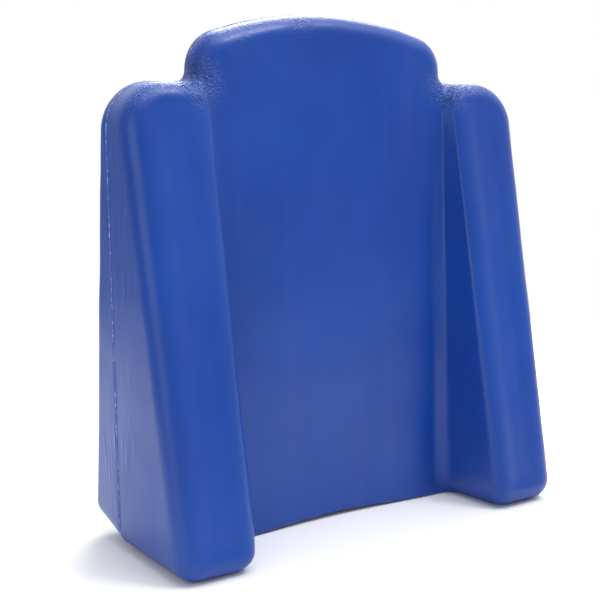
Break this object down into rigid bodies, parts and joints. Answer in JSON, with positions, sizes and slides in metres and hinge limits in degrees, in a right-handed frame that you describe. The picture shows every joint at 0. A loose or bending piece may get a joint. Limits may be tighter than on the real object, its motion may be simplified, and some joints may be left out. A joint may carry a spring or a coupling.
{
  "type": "kickboard float",
  "caption": "Vinyl-skinned foam kickboard float: flat back, humped nose, and a wedge-shaped pontoon down each side of a shallow channel. It stands on its tail.",
  "frame": {"origin": "centre of the bounding box's bottom face, on the plane that the tail stands on", "axes": "+X to the right, -Y towards the pontoon side (front), +Y towards the flat back, +Z from the tail to the nose"},
  "size_m": [0.3678, 0.1451, 0.4009],
  "materials": {
    "vinyl": "semi-gloss royal blue vinyl skin",
    "weld": "scuffed vinyl weld bead",
    "foam": "closed-cell foam"
  },
  "bodies": {
    "root": {"front_skin": "vinyl", "rear_skin": "vinyl", "seam_bead": "weld", "rear_core": "foam", "deck_core": "foam", "left_pontoon_core": "foam", "right_pontoon_core": "foam"}
  },
  "joints": []
}
